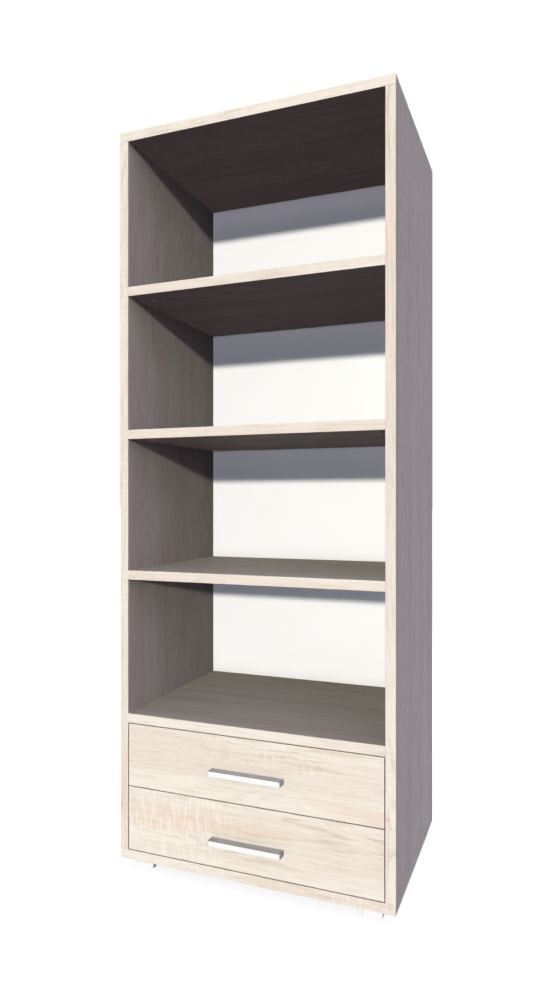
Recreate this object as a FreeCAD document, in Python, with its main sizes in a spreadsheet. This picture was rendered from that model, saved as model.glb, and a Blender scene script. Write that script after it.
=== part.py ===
"""Office shelving unit: a coated-board bookcase with three open shelves and two drawers.

Frame: millimetres, +Z up, the front faces -Y, and the origin lies on the floor under the middle
of the whole unit, handles included.
"""
import FreeCAD, Part
import os
import re
import Sketcher

SIZES = {
    # Carcass boards and the clear heights between them, from the bottom up.
    "width": 660,
    "depth": 464,
    "board": 22,
    "edge_radius": 1,
    "drawer_bay": 300,
    "lower_bay": 316,
    "middle_bay": 310,
    "upper_bay": 316,
    "top_bay": 344,
    # Back panel, its groove and its nails.
    "back_thickness": 4,
    "rear_lip": 10,
    "groove_depth": 8,
    "groove_play": 0.5,
    "groove_slack": 0.2,
    "nail_radius": 0.8,
    "nail_grip": 18,
    "nail_head_radius": 2,
    "nail_head_height": 0.8,
    # Moulded feet and their screws.
    "foot_size": 43,
    "foot_height": 25,
    "foot_setback": 23,
    "foot_inset": 33,
    "foot_corner": 3,
    "foot_wall": 3.5,
    "foot_plate": 6,
    "foot_screw_spread": 18,
    "foot_screw_radius": 2,
    "foot_screw_grip": 14,
    "foot_head_radius": 4,
    "foot_head_height": 2.5,
    # Fittings that join the carcass boards.
    "fit_clearance": 0.1,
    "fitting_inset": 60,
    "dowel_spacing": 32,
    "dowel_radius": 4,
    "dowel_face_grip": 12,
    "dowel_edge_grip": 22,
    "dowel_play": 0.5,
    "cam_setback": 34,
    "cam_radius": 7.5,
    "cam_reach": 3.8,
    "cam_play": 0.2,
    "cover_lip": 1.5,
    "cover_thickness": 1,
    "cam_bore_radius": 4,
    "cam_bolt_radius": 2.5,
    "cam_bolt_grip": 11,
    "cam_head_radius": 3,
    "cam_head_length": 3,
    "connector_radius": 2.6,
    "connector_grip": 36,
    "connector_head_radius": 5,
    "connector_head_height": 4.5,
    # Roller runners: channel rails on the cabinet, stepped profiles on the drawers.
    "steel_sheet": 1.2,
    "rail_height": 24,
    "rail_flange": 9.5,
    "rail_setback": 2,
    "rail_rear_gap": 26,
    "rail_notch": 34,
    "runner_gap": 12.5,
    "runner_rise": 12,
    "profile_flange": 10.5,
    "profile_foot": 12,
    "profile_rise": 2,
    "slide_gap": 1,
    "running_gap": 0.3,
    "runner_screw_radius": 1.8,
    "runner_screw_cover": 1.5,
    "rail_screw_grip": 12,
    "runner_head_radius": 3.5,
    "runner_head_height": 1.6,
    # Nylon rollers and their pins.
    "roller_radius": 10,
    "roller_width": 5.6,
    "roller_standoff": 1,
    "roller_inset": 14,
    "roller_chamfer": 0.6,
    "roller_rim": 2.4,
    "roller_hub": 2,
    "roller_dish": 1.2,
    "roller_bore_gap": 0.08,
    "pin_radius": 2.5,
    "pin_head_radius": 4,
    "pin_head_height": 1,
    "pin_head_gap": 0.2,
    # Drawer fronts and boxes.
    "front_gap": 2,
    "lower_front": 148,
    "box_board": 16,
    "box_height": 100,
    "box_rear_gap": 2,
    "bottom_thickness": 4,
    "bottom_rise": 10,
    "bottom_groove": 7,
    "box_screw_radius": 2.4,
    "box_screw_grip": 34,
    "box_head_radius": 4.5,
    "box_head_height": 4,
    "front_screw_spread": 380,
    "front_screw_radius": 2,
    "front_screw_grip": 13,
    "front_head_radius": 4,
    "front_head_height": 2.2,
    # Bar handles: an extruded section with a finger channel below, closed by end caps.
    "handle_length": 172,
    "handle_projection": 25,
    "handle_height": 12,
    "handle_fall": 2,
    "handle_back": 6,
    "handle_top": 3,
    "handle_lip": 3,
    "handle_edge": 1,
    "handle_dish": 0.6,
    "handle_cap": 2,
    "handle_plug": 5,
    "handle_hole_inset": 6,
    "handle_thread": 5,
    "handle_screw_radius": 2,
    "handle_head_radius": 4,
    "handle_head_height": 2.6,
    "upper_handle_drop": 6.5,
    "lower_handle_drop": 11.5,
}

# Places along a length, as shares of that length.
NAIL_SHARES = (0.1, 0.5, 0.9)
RAIL_SCREW_SHARES = (0.13, 0.48, 0.83)
RUNNER_SCREW_SHARES = (0.1, 0.45, 0.8)
BOX_SCREW_SHARES = (0.42, 0.82)
FRONT_SCREW_SHARES = (0.3, 0.8)
TRAVEL_SHARE = 0.75

# Worked-out sizes, written once as formulas of the named ones.
INNER = "(width - 2 * board)"
FRONT = "((handle_projection - depth) / 2)"
SHELF_DEPTH = "(depth - rear_lip - back_thickness)"
GROOVE_WIDTH = "(back_thickness + groove_slack)"
SIDE_BASE = "(foot_height + board)"
SIDE_HEIGHT = "(drawer_bay + lower_bay + middle_bay + upper_bay + top_bay + 4 * board)"
SHELF_RISES = {
    "drawer_deck": "drawer_bay",
    "lower_shelf": "(drawer_bay + lower_bay + board)",
    "middle_shelf": "(drawer_bay + lower_bay + middle_bay + 2 * board)",
    "upper_shelf": "(drawer_bay + lower_bay + middle_bay + upper_bay + 3 * board)",
}
CAM_LINES = ("fitting_inset", f"({SHELF_DEPTH} - fitting_inset)")
DOWEL_LINES = ("(fitting_inset + dowel_spacing)", f"({SHELF_DEPTH} - fitting_inset - dowel_spacing)")
CAM_DEPTH = "(board / 2 + cam_reach)"
FOOT_MIDDLES = ("(foot_setback + foot_size / 2)", "(depth - foot_setback - foot_size / 2)")

# Drawer heights count from the top of the bottom panel, runner heights from the rail's underside.
FRONT_BASES = {"lower": "front_gap", "upper": "(2 * front_gap + lower_front)"}
FRONT_HEIGHTS = {"lower": "lower_front", "upper": "(drawer_bay - 3 * front_gap - lower_front)"}
BOX_WIDTH = f"({INNER} - 2 * runner_gap)"
BOX_INNER = f"({BOX_WIDTH} - 2 * box_board)"
BOX_RISE = "(profile_rise + steel_sheet)"
RUNNER_FRONT = f"({FRONT} + board + rail_setback)"
RAIL_LENGTH = f"({SHELF_DEPTH} - board - rail_setback - rail_rear_gap)"
BOX_LENGTH = f"(rail_setback + {RAIL_LENGTH} - box_rear_gap)"
PROFILE_LENGTH = f"({BOX_LENGTH} - rail_setback)"
DRAWER_TRAVEL = f"({TRAVEL_SHARE} * {RAIL_LENGTH})"
SLIDE_HEIGHT = "(rail_height + slide_gap)"
FRONT_AXIS_HEIGHT = f"({SLIDE_HEIGHT} - running_gap - roller_radius)"
REAR_AXIS_HEIGHT = "(steel_sheet + running_gap + roller_radius)"
REAR_AXIS = f"({RAIL_LENGTH} - roller_inset)"
RAIL_SCREW_HEIGHT = "(rail_height / 2)"
RUNNER_SCREW_HEIGHT = f"(({BOX_RISE} + {SLIDE_HEIGHT}) / 2)"
RUNNER_SCREW_GRIP = "(box_board - bottom_groove - runner_screw_cover)"
HANDLE_SPACING = "(handle_length - 2 * handle_hole_inset)"
HANDLE_SLOPE = "(handle_fall / handle_projection)"
INWARD = {"left": 1, "right": -1}
TINY = 1e-6

doc = FreeCAD.newDocument("ShelvingUnit")
sheet = doc.addObject("Spreadsheet::Sheet", "Sizes")
for row, (alias, number) in enumerate(SIZES.items(), 1):
    sheet.set(f"A{row}", alias)
    sheet.set(f"B{row}", str(number))
    sheet.setAlias(f"B{row}", alias)
doc.recompute()
nodes = []


def bound(text):
    """The formula with each size name pointed at its cell."""
    return re.sub(r"[a-z]\w*", r"Sizes.\g<0>", text)


def value(text):
    """The formula's present value."""
    return float(sheet.evalExpression(bound(text)))


def signed(sign, text):
    """The formula, or its opposite for a mirrored piece."""
    return text if sign > 0 or text == "0" else f"-({text})"


def new_body(label, x="0", y="0", z="0"):
    """An empty sub-part with its own place."""
    body = doc.addObject("PartDesign::Body", label)
    body.Label = label
    for axis, text in zip("xyz", (x, y, z)):
        if text != "0":
            body.setExpression(f"Placement.Base.{axis}", bound(text))
    nodes.append(body)
    return body


def origin_plane(body, plane):
    """The body's own XY, XZ or YZ plane."""
    return next(item for item in body.Origin.OriginFeatures if item.Role == plane + "_Plane")


def tie(sketch, constraint, text):
    """Adds a sketch constraint whose size follows the formula."""
    number = sketch.addConstraint(constraint)
    sketch.setExpression(f"Constraints[{number}]", bound(text))


def tie_point(sketch, geometry, end, across, up):
    """Ties a sketch point to its two distances from the sketch origin."""
    for kind, axis, text in (("DistanceX", -2, across), ("DistanceY", -1, up)):
        if text == "0":
            sketch.addConstraint(Sketcher.Constraint("PointOnObject", geometry, end, axis))
        else:
            tie(sketch, Sketcher.Constraint(kind, -1, 1, geometry, end, value(text)), text)


def polygon(points):
    """A closed outline through points given as pairs of formulas."""
    def draw(sketch):
        corners = [FreeCAD.Vector(value(across), value(up), 0) for across, up in points]
        lines = [Part.LineSegment(a, b) for a, b in zip(corners, corners[1:] + corners[:1])]
        numbers = [sketch.addGeometry(line) for line in lines]
        for number, following in zip(numbers, numbers[1:] + numbers[:1]):
            sketch.addConstraint(Sketcher.Constraint("Coincident", number, 2, following, 1))
        for number, (across, up) in zip(numbers, points):
            tie_point(sketch, number, 1, across, up)
    return draw


def rectangle(left, right, low, high):
    """A rectangle between two distances across and two up."""
    return polygon([(left, low), (right, low), (right, high), (left, high)])


def circles(centres, radius):
    """Equal circles round centres given as pairs of formulas."""
    def draw(sketch):
        for across, up in centres:
            centre = FreeCAD.Vector(value(across), value(up), 0)
            circle = Part.Circle(centre, FreeCAD.Vector(0, 0, 1), value(radius))
            number = sketch.addGeometry(circle)
            tie_point(sketch, number, 3, across, up)
            tie(sketch, Sketcher.Constraint("Radius", number, value(radius)), radius)
    return draw


def extrude(body, kind, plane, outlines, length, offset="0", forward=True):
    """Pads or pockets outlines from a plane moved by an offset, forward along the plane's axis."""
    sketch = body.newObject("Sketcher::SketchObject", "Sketch")
    sketch.AttachmentSupport = [(origin_plane(body, plane), "")]
    sketch.MapMode = "FlatFace"
    facing_back = plane == "XZ"
    if offset != "0":
        sketch.setExpression("AttachmentOffset.Base.z", bound(signed(-1 if facing_back else 1, offset)))
    for draw in outlines:
        draw(sketch)
    feature = body.newObject("PartDesign::" + kind, kind)
    feature.Profile = sketch
    feature.setExpression("Length", bound(length))
    along_normal = forward != facing_back
    feature.Reversed = along_normal == (kind == "Pocket")
    return feature


def pins(body, plane, centres, radius, start, end):
    """Round solids from one distance to another along the plane's axis."""
    return extrude(body, "Pad", plane, [circles(centres, radius)], f"({end}) - ({start})", start)


def drill(body, plane, centres, radius, depth, offset="0", forward=True):
    """Round holes a little wider than what goes in them."""
    return extrude(body, "Pocket", plane, [circles(centres, radius)], depth, offset, forward)


def revolve(body, outline):
    """Turns an outline, drawn along X and out from it, once round the body's X axis."""
    sketch = body.newObject("Sketcher::SketchObject", "Sketch")
    sketch.AttachmentSupport = [(origin_plane(body, "XZ"), "")]
    sketch.MapMode = "FlatFace"
    outline(sketch)
    feature = body.newObject("PartDesign::Revolution", "Revolution")
    feature.Profile = sketch
    feature.ReferenceAxis = (sketch, ["H_Axis"])
    return feature


def loose(radius):
    """The radius of a hole for a pin of this radius."""
    return f"({radius} + fit_clearance)"


def block(label, size, corner):
    """A board with one corner at its place."""
    body = new_body(label, *corner)
    outline = rectangle("0", size[0], "0", size[1])
    feature = extrude(body, "Pad", "XY", [outline], size[2])
    return body, feature


def dress(body, feature, kind, size_name, size, chosen):
    """Rounds or bevels the edges of a feature whose middle points are chosen."""
    doc.recompute()
    edges = enumerate(feature.Shape.Edges, 1)
    names = [f"Edge{number}" for number, edge in edges if chosen(edge.CenterOfGravity)]
    dressing = body.newObject("PartDesign::" + kind, kind)
    dressing.Base = (feature, names)
    dressing.setExpression(size_name, bound(size))
    return dressing


def round_edges(body, feature, radius, chosen):
    """Rounds the chosen edges."""
    return dress(body, feature, "Fillet", "Radius", radius, chosen)


def mirror(body):
    """Repeats the whole body on the other side of the unit's middle plane."""
    doc.recompute()
    twin = body.newObject("PartDesign::Mirrored", "Mirrored")
    twin.TransformMode = "Whole shape"
    twin.MirrorPlane = (origin_plane(body, "YZ"), [""])
    body.Tip = twin


def pairs(firsts, seconds):
    """Every first with every second."""
    return [(first, second) for first in firsts for second in seconds]


def at_front(point):
    return abs(point.y) < TINY


def rail_base(drawer):
    """Height of the rail's underside above the bottom panel."""
    return f"({FRONT_BASES[drawer]} + runner_rise)"


def box_base(drawer):
    """Height of the drawer box's underside above the floor."""
    return f"({SIDE_BASE} + {rail_base(drawer)} + {BOX_RISE})"


def handle_height_above_front_base(drawer):
    return f"({FRONT_HEIGHTS[drawer]} / 2 - {drawer}_handle_drop)"


def handle_height_in_box(drawer):
    return f"({handle_height_above_front_base(drawer)} - runner_rise - {BOX_RISE})"


def shelf_joint_centres(lines):
    """Places of shelf fittings on a side's inner face."""
    return pairs(lines, [f"({rise} + board / 2)" for rise in SHELF_RISES.values()])


def rail_screw_centres():
    """Places of the rail screws on a side's inner face."""
    lines = [f"(board + rail_setback + {share} * {RAIL_LENGTH})" for share in RAIL_SCREW_SHARES]
    return pairs(lines, [f"({rail_base(drawer)} + {RAIL_SCREW_HEIGHT})" for drawer in FRONT_BASES])


def make_side(label, x, inner_offset, inner_forward):
    """A side panel with its back groove and all its joint holes."""
    body = new_body(label, x, FRONT, SIDE_BASE)
    outline = rectangle("0", "depth", "0", SIDE_HEIGHT)
    slab = extrude(body, "Pad", "YZ", [outline], "board")
    round_edges(body, slab, "edge_radius", at_front)
    groove = rectangle(SHELF_DEPTH, f"{SHELF_DEPTH} + {GROOVE_WIDTH}", "0", SIDE_HEIGHT)
    extrude(body, "Pocket", "YZ", [groove], "groove_depth", inner_offset, inner_forward)
    for centres, radius, depth in (
        (shelf_joint_centres(DOWEL_LINES), "dowel_radius", "dowel_face_grip"),
        (shelf_joint_centres(CAM_LINES), "cam_bolt_radius", "cam_bolt_grip"),
        (rail_screw_centres(), "runner_screw_radius", "rail_screw_grip"),
    ):
        drill(body, "YZ", centres, loose(radius), depth, inner_offset, inner_forward)
    for lines, radius, depth in (
        (DOWEL_LINES, "dowel_radius", "dowel_edge_grip"),
        (CAM_LINES, "connector_radius", "connector_grip"),
    ):
        centres = pairs(["board / 2"], lines)
        drill(body, "XY", centres, loose(radius), depth)
        drill(body, "XY", centres, loose(radius), depth, SIDE_HEIGHT, forward=False)


def make_cap_panel(label, z, inner_offset, inner_forward):
    """The top or bottom panel, screwed and dowelled to the ends of both sides."""
    body, slab = block(label, ("width", "depth", "board"), ("-width / 2", FRONT, z))
    rear = value("depth") - TINY
    round_edges(body, slab, "edge_radius", lambda point: point.y < rear)
    side_lines = ("board / 2", "(width - board / 2)")
    groove = rectangle(
        "board - groove_depth", "width - board + groove_depth",
        SHELF_DEPTH, f"{SHELF_DEPTH} + {GROOVE_WIDTH}",
    )
    extrude(body, "Pocket", "XY", [groove], "groove_depth", inner_offset, inner_forward)
    dowel_centres = pairs(side_lines, DOWEL_LINES)
    drill(body, "XY", dowel_centres, loose("dowel_radius"), "dowel_face_grip", inner_offset, inner_forward)
    screw_centres = pairs(side_lines, CAM_LINES)
    drill(body, "XY", screw_centres, loose("connector_radius"), "board", inner_offset, inner_forward)
    outer_offset = "board" if inner_forward else "0"
    recess = loose("connector_head_radius")
    drill(body, "XY", screw_centres, recess, "connector_head_height", outer_offset, not inner_forward)
    return body


def make_shelf(label, rise):
    """A shelf between the sides: cams below, dowels and cam bolts in both ends, nails from behind."""
    corner = (f"-{INNER} / 2", FRONT, f"{SIDE_BASE} + {rise}")
    body, slab = block(label, (INNER, SHELF_DEPTH, "board"), corner)
    round_edges(body, slab, "edge_radius", lambda point: at_front(point) and point.x > TINY
                and point.x < value(INNER) - TINY)
    for lines, radius, depth in (
        (DOWEL_LINES, loose("dowel_radius"), "dowel_edge_grip"),
        (CAM_LINES, "cam_bore_radius", "cam_setback"),
    ):
        centres = pairs(lines, ["board / 2"])
        drill(body, "YZ", centres, radius, depth)
        drill(body, "YZ", centres, radius, depth, INNER, forward=False)
    cam_centres = pairs(["cam_setback", f"({INNER} - cam_setback)"], CAM_LINES)
    drill(body, "XY", cam_centres, loose("cam_radius"), CAM_DEPTH)
    nail_centres = pairs([f"({share} * {INNER})" for share in NAIL_SHARES], ["board / 2"])
    drill(body, "XZ", nail_centres, loose("nail_radius"), "nail_grip", SHELF_DEPTH, forward=False)


def make_back_panel():
    """The thin back in its grooves, and the nails that hold it to the shelves."""
    overlap = "(groove_depth - groove_play)"
    size = (f"({INNER} + 2 * {overlap})", "back_thickness", f"({SIDE_HEIGHT} + 2 * {overlap})")
    y = f"{FRONT} + {SHELF_DEPTH}"
    corner = (f"-({INNER} / 2 + {overlap})", y, f"{SIDE_BASE} - {overlap}")
    body, slab = block("back_panel", size, corner)
    lines = [f"({share} * {INNER})" for share in NAIL_SHARES]
    heights = [f"({rise} + board / 2)" for rise in SHELF_RISES.values()]
    hole_lines = [f"({line} + {overlap})" for line in lines]
    hole_heights = [f"({height} + {overlap})" for height in heights]
    drill(body, "XZ", pairs(hole_lines, hole_heights), loose("nail_radius"), "back_thickness")
    nails = new_body("back_panel_nails", f"-{INNER} / 2", y, SIDE_BASE)
    pins(nails, "XZ", pairs(lines, heights), "nail_radius", "-nail_grip", "back_thickness")
    head_end = "back_thickness + nail_head_height"
    pins(nails, "XZ", pairs(lines, heights), "nail_head_radius", "back_thickness", head_end)


def foot_screw_lines():
    """Distances of a foot's two screws from the outer face of the nearer side."""
    middle = "foot_inset + foot_size / 2"
    return [f"({middle} - foot_screw_spread / 2)", f"({middle} + foot_screw_spread / 2)"]


def make_feet():
    """Four hollow moulded feet, each held by two screws from inside its hollow."""
    xs = {"left": "(foot_inset - width / 2)", "right": "(width / 2 - foot_inset - foot_size)"}
    ys = {"front": "foot_setback", "rear": "(depth - foot_setback - foot_size)"}
    for end, y in ys.items():
        for side, x in xs.items():
            size = ("foot_size", "foot_size", "foot_height")
            body, slab = block(f"{end}_{side}_foot", size, (x, f"{FRONT} + {y}", "0"))
            middle = value("foot_height") / 2
            round_edges(body, slab, "foot_corner", lambda point: abs(point.z - middle) < TINY)
            far_wall = "(foot_size - foot_wall)"
            hollow = rectangle("foot_wall", far_wall, "foot_wall", far_wall)
            extrude(body, "Pocket", "XY", [hollow], "foot_height - foot_plate")
            spread = ["(foot_size / 2 - foot_screw_spread / 2)", "(foot_size / 2 + foot_screw_spread / 2)"]
            drill(body, "XY", pairs(spread, ["foot_size / 2"]), loose("foot_screw_radius"), "foot_height")
    screws = new_body("foot_screws", "0", FRONT)
    centres = pairs([f"(width / 2 - {line})" for line in foot_screw_lines()], FOOT_MIDDLES)
    seat = "(foot_height - foot_plate)"
    pins(screws, "XY", centres, "foot_screw_radius", seat, "foot_height + foot_screw_grip")
    pins(screws, "XY", centres, "foot_head_radius", f"{seat} - foot_head_height", seat)
    mirror(screws)


def make_carcass():
    """The boards of the carcass."""
    make_side("left_side", "-width / 2", "board", False)
    make_side("right_side", "width / 2 - board", "0", True)
    make_cap_panel("top_panel", f"{SIDE_BASE} + {SIDE_HEIGHT}", "0", True)
    bottom = make_cap_panel("bottom_panel", "foot_height", "board", False)
    lines = foot_screw_lines() + [f"(width - {line})" for line in foot_screw_lines()]
    drill(bottom, "XY", pairs(lines, FOOT_MIDDLES), loose("foot_screw_radius"), "foot_screw_grip")
    for label, rise in SHELF_RISES.items():
        make_shelf(label, rise)


def make_carcass_fittings():
    """Dowels, cam bolts, cams with cover caps and connecting screws, each set mirrored left to right."""
    half = f"({INNER} / 2)"
    side_middle = f"({half} + board / 2)"

    dowels = new_body("carcass_dowels", "0", FRONT, SIDE_BASE)
    start = f"{half} - dowel_edge_grip + dowel_play"
    end = f"{half} + dowel_face_grip - dowel_play"
    pins(dowels, "YZ", shelf_joint_centres(DOWEL_LINES), "dowel_radius", start, end)
    centres = pairs([side_middle], DOWEL_LINES)
    face_end = "dowel_face_grip - dowel_play"
    edge_end = "dowel_edge_grip - dowel_play"
    pins(dowels, "XY", centres, "dowel_radius", f"-({face_end})", edge_end)
    low_end = f"{SIDE_HEIGHT} - ({edge_end})"
    pins(dowels, "XY", centres, "dowel_radius", low_end, f"{SIDE_HEIGHT} + {face_end}")
    mirror(dowels)

    bolts = new_body("cam_bolts", "0", FRONT, SIDE_BASE)
    centres = shelf_joint_centres(CAM_LINES)
    neck = f"({half} - cam_setback + cam_head_length)"
    pins(bolts, "YZ", centres, "cam_bolt_radius", neck, f"{half} + cam_bolt_grip - dowel_play")
    pins(bolts, "YZ", centres, "cam_head_radius", f"{half} - cam_setback", neck)
    mirror(bolts)

    cams = new_body("cam_discs", "0", FRONT, SIDE_BASE)
    covers = new_body("cam_covers", "0", FRONT, SIDE_BASE)
    middles = pairs([f"({half} - cam_setback)"], CAM_LINES)
    for rise in SHELF_RISES.values():
        pins(cams, "XY", middles, "cam_radius", rise, f"{rise} + {CAM_DEPTH} - cam_play")
        pins(covers, "XY", middles, "(cam_radius + cover_lip)", f"{rise} - cover_thickness", rise)
    mirror(covers)
    bore_start = f"{half} - cam_setback - cam_play"
    drill(cams, "YZ", centres, loose("cam_head_radius"), "cam_setback", bore_start)
    mirror(cams)

    screws = new_body("connecting_screws", "0", FRONT, SIDE_BASE)
    centres = pairs([side_middle], CAM_LINES)
    low_seat = "(connector_head_height - board)"
    high_seat = f"({SIDE_HEIGHT} + board - connector_head_height)"
    tip = "(connector_grip - dowel_play)"
    pins(screws, "XY", centres, "connector_radius", low_seat, tip)
    pins(screws, "XY", centres, "connector_head_radius", "-board", low_seat)
    pins(screws, "XY", centres, "connector_radius", f"{SIDE_HEIGHT} - {tip}", high_seat)
    pins(screws, "XY", centres, "connector_head_radius", high_seat, f"{SIDE_HEIGHT} + board")
    mirror(screws)


def make_rail(drawer, side):
    """A cabinet rail: a folded channel, open towards the drawer, with two bent stops."""
    inward = INWARD[side]
    x = signed(-inward, f"({INNER} / 2)")
    body = new_body(f"{drawer}_{side}_rail", x, RUNNER_FRONT, f"{SIDE_BASE} + {rail_base(drawer)}")
    edge = signed(inward, "rail_flange")
    web = signed(inward, "steel_sheet")
    top = "(rail_height - steel_sheet)"
    section = polygon([
        ("0", "0"), (edge, "0"), (edge, "steel_sheet"), (web, "steel_sheet"),
        (web, top), (edge, top), (edge, "rail_height"), ("0", "rail_height"),
    ])
    extrude(body, "Pad", "XZ", [section], RAIL_LENGTH)
    notch = rectangle(web, edge, "0", "rail_notch")
    extrude(body, "Pocket", "XY", [notch], "steel_sheet", "rail_height", forward=False)
    stop_top = f"({REAR_AXIS_HEIGHT} + roller_hub)"
    stop = rectangle(web, edge, "steel_sheet", stop_top)
    open_stop = f"({REAR_AXIS} - {DRAWER_TRAVEL} - roller_radius - running_gap - steel_sheet)"
    closed_stop = f"({REAR_AXIS} + roller_radius + running_gap)"
    for start in (open_stop, closed_stop):
        extrude(body, "Pad", "XZ", [stop], "steel_sheet", start)
    screw_centres = [(f"({share} * {RAIL_LENGTH})", RAIL_SCREW_HEIGHT) for share in RAIL_SCREW_SHARES]
    forward = inward > 0
    drill(body, "YZ", screw_centres, loose("runner_screw_radius"), "steel_sheet", "0", forward)
    pin_centres = [("roller_inset", FRONT_AXIS_HEIGHT)]
    drill(body, "YZ", pin_centres, loose("pin_radius"), "steel_sheet", "0", forward)


def make_runner(drawer, side):
    """A drawer runner: a stepped profile that carries the box's edge and rides on the front roller."""
    inward = INWARD[side]
    x = signed(-inward, f"({INNER} / 2)")
    body = new_body(f"{drawer}_{side}_runner", x, RUNNER_FRONT, f"{SIDE_BASE} + {rail_base(drawer)}")
    outer = signed(inward, "runner_gap - profile_flange")
    web = signed(inward, "runner_gap - steel_sheet")
    face = signed(inward, "runner_gap")
    foot = signed(inward, "runner_gap + profile_foot")
    section = polygon([
        (outer, SLIDE_HEIGHT), (web, SLIDE_HEIGHT), (web, "profile_rise"), (foot, "profile_rise"),
        (foot, BOX_RISE), (face, BOX_RISE), (face, f"{SLIDE_HEIGHT} + steel_sheet"),
        (outer, f"{SLIDE_HEIGHT} + steel_sheet"),
    ])
    extrude(body, "Pad", "XZ", [section], PROFILE_LENGTH)
    forward = inward > 0
    screw_centres = [(f"({share} * {RAIL_LENGTH})", RUNNER_SCREW_HEIGHT) for share in RUNNER_SCREW_SHARES]
    drill(body, "YZ", screw_centres, loose("runner_screw_radius"), "steel_sheet", web, forward)
    pin_centres = [(REAR_AXIS, REAR_AXIS_HEIGHT)]
    drill(body, "YZ", pin_centres, loose("pin_radius"), "steel_sheet", web, forward)


def make_rollers(label, drawer, axis, axis_height, start):
    """A pair of dished nylon rollers that turn on their pins."""
    z = f"{SIDE_BASE} + {rail_base(drawer)} + {axis_height}"
    body = new_body(label, "0", f"{RUNNER_FRONT} + {axis}", z)
    bore = "(pin_radius + roller_bore_gap)"
    hub = f"({bore} + roller_hub)"
    rim = "(roller_radius - roller_rim)"
    bevel = "(roller_radius - roller_chamfer)"
    end = f"({start} + roller_width)"
    near_dish = f"({start} + roller_dish)"
    far_dish = f"({end} - roller_dish)"
    near_side = [(start, bore), (start, hub), (near_dish, hub), (near_dish, rim), (start, rim)]
    near_tread = [(start, bevel), (f"({start} + roller_chamfer)", "roller_radius")]
    far_tread = [(f"({end} - roller_chamfer)", "roller_radius"), (end, bevel)]
    far_side = [(end, rim), (far_dish, rim), (far_dish, hub), (end, hub), (end, bore)]
    revolve(body, polygon(near_side + near_tread + far_tread + far_side))
    mirror(body)


def make_pins(label, drawers, axis, axis_height, foot, head):
    """Riveted roller pins, flush with the steel at the foot and headed over the roller."""
    body = new_body(label, "0", f"{RUNNER_FRONT} + {axis}", SIDE_BASE)
    for drawer in drawers:
        centre = [("0", f"({rail_base(drawer)} + {axis_height})")]
        outwards = value(head) > value(foot)
        cap = f"({head} + pin_head_height)" if outwards else f"({head} - pin_head_height)"
        ends = (foot, head, cap) if outwards else (cap, head, foot)
        shank = ends[:2] if outwards else ends[1:]
        button = ends[1:] if outwards else ends[:2]
        pins(body, "YZ", centre, "pin_radius", *shank)
        pins(body, "YZ", centre, "pin_head_radius", *button)
    mirror(body)


def make_running_gear():
    """Rails, runners, rollers, pins and their screws."""
    half = f"({INNER} / 2)"
    front_end = f"({half} - steel_sheet - roller_standoff)"
    front_start = f"({front_end} - roller_width)"
    rear_start = f"({half} - runner_gap + steel_sheet + roller_standoff)"
    rear_end = f"({rear_start} + roller_width)"
    make_pins("front_roller_pins", FRONT_BASES, "roller_inset", FRONT_AXIS_HEIGHT,
              half, f"({front_start} - pin_head_gap)")
    for drawer in FRONT_BASES:
        for side in INWARD:
            make_rail(drawer, side)
            make_runner(drawer, side)
        make_rollers(f"{drawer}_front_rollers", drawer, "roller_inset", FRONT_AXIS_HEIGHT, front_start)
        make_rollers(f"{drawer}_rear_rollers", drawer, REAR_AXIS, REAR_AXIS_HEIGHT, rear_start)
        make_pins(f"{drawer}_rear_roller_pins", [drawer], REAR_AXIS, REAR_AXIS_HEIGHT,
                  f"({half} - runner_gap)", f"({rear_end} + pin_head_gap)")
        z = f"{SIDE_BASE} + {rail_base(drawer)}"
        screws = new_body(f"{drawer}_runner_screws", "0", RUNNER_FRONT, z)
        centres = [(f"({share} * {RAIL_LENGTH})", RUNNER_SCREW_HEIGHT) for share in RUNNER_SCREW_SHARES]
        seat = f"({half} - runner_gap + steel_sheet)"
        tip = f"({half} - runner_gap - {RUNNER_SCREW_GRIP} + dowel_play)"
        pins(screws, "YZ", centres, "runner_screw_radius", tip, seat)
        pins(screws, "YZ", centres, "runner_head_radius", seat, f"{seat} + runner_head_height")
        mirror(screws)
    screws = new_body("rail_screws", "0", FRONT, SIDE_BASE)
    seat = f"({half} - steel_sheet)"
    tip = f"({half} + rail_screw_grip - dowel_play)"
    pins(screws, "YZ", rail_screw_centres(), "runner_screw_radius", seat, tip)
    head_end = f"{seat} - runner_head_height"
    pins(screws, "YZ", rail_screw_centres(), "runner_head_radius", head_end, seat)
    mirror(screws)


def front_screw_centres(x_shift, z_shift):
    """Places of the four front screws, counted from the box's corner and shifted to a piece's own."""
    lines = [f"({BOX_WIDTH} / 2 - front_screw_spread / 2 + {x_shift})",
             f"({BOX_WIDTH} / 2 + front_screw_spread / 2 + {x_shift})"]
    return pairs(lines, [f"({share} * box_height + {z_shift})" for share in FRONT_SCREW_SHARES])


def handle_screw_centres(x_shift, height):
    """Places of the two handle screws, counted from the box's corner and shifted to a piece's own."""
    lines = [f"({BOX_WIDTH} / 2 - {HANDLE_SPACING} / 2 + {x_shift})",
             f"({BOX_WIDTH} / 2 + {HANDLE_SPACING} / 2 + {x_shift})"]
    return pairs(lines, [height])


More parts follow.
